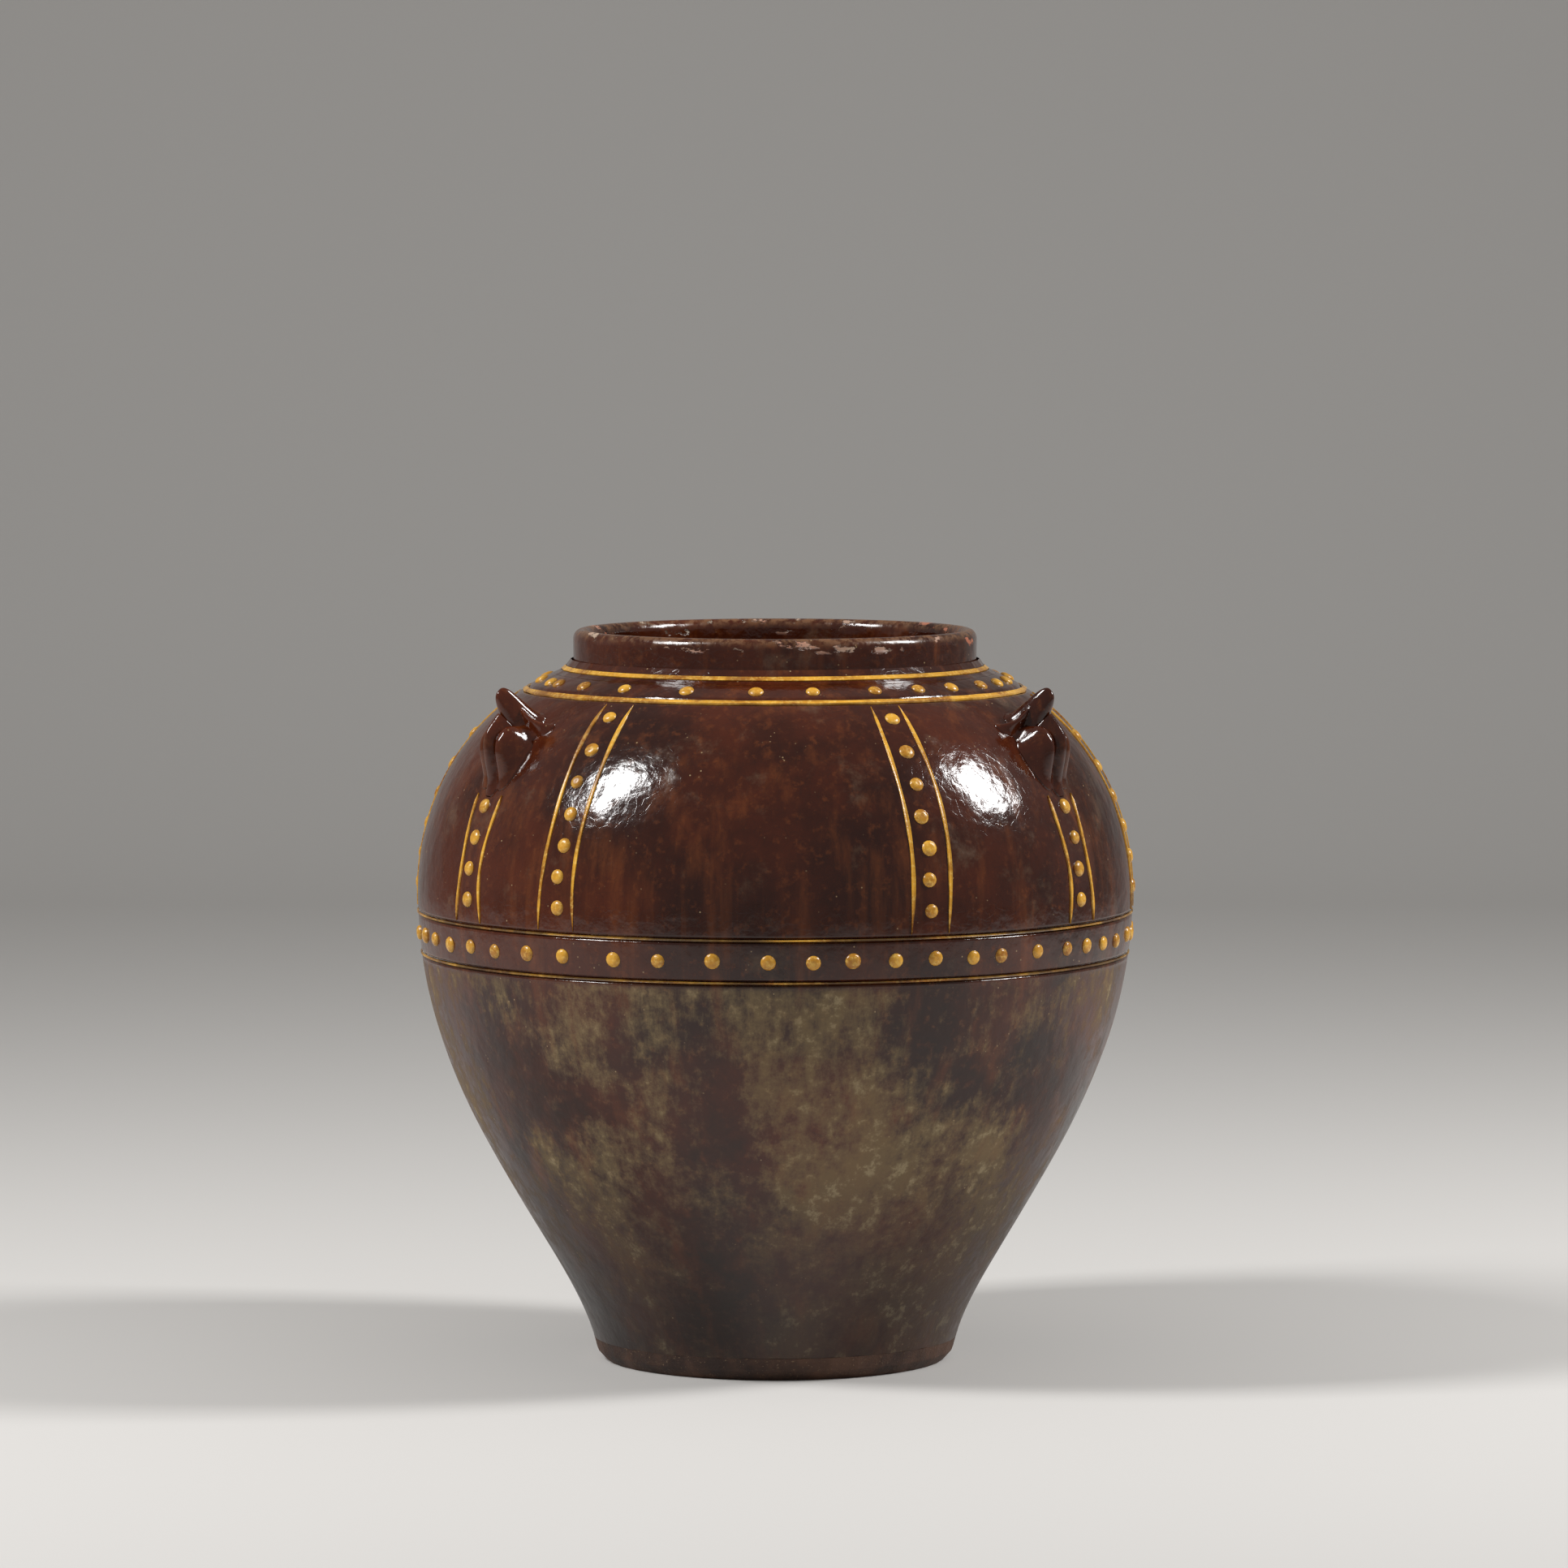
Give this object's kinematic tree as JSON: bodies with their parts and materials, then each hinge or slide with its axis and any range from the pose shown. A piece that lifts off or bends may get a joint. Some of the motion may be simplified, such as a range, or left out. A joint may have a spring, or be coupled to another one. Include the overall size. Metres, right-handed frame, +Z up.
{
  "type": "ceramic storage urn",
  "caption": "Open brown-glazed stoneware urn with a wide shoulder, a short collar neck, moulded shoulder lugs and yellow slip lines and dots.",
  "frame": {"origin": "centre of the foot's underside", "axes": "+Z up along the urn's axis, the pictured side faces -Y, +X to the right of it"},
  "size_m": [0.4433, 0.4435, 0.451],
  "materials": {
    "brown_glaze": "glossy, crazed, worn",
    "yellow_slip": "glossy",
    "raw_clay": "matte"
  },
  "bodies": {
    "root": {"base_slab": "raw_clay", "foot_coil": "brown_glaze", "lower_wall": "brown_glaze", "belly_coil": "brown_glaze", "upper_wall": "brown_glaze", "neck_coil": "brown_glaze", "neck_collar": "brown_glaze", "lug_left": "brown_glaze", "lug_right": "brown_glaze", "lug_back": "brown_glaze", "belly_line_lower": "yellow_slip", "belly_line_upper": "yellow_slip", "shoulder_line": "yellow_slip", "neck_line": "yellow_slip"}
  },
  "joints": []
}
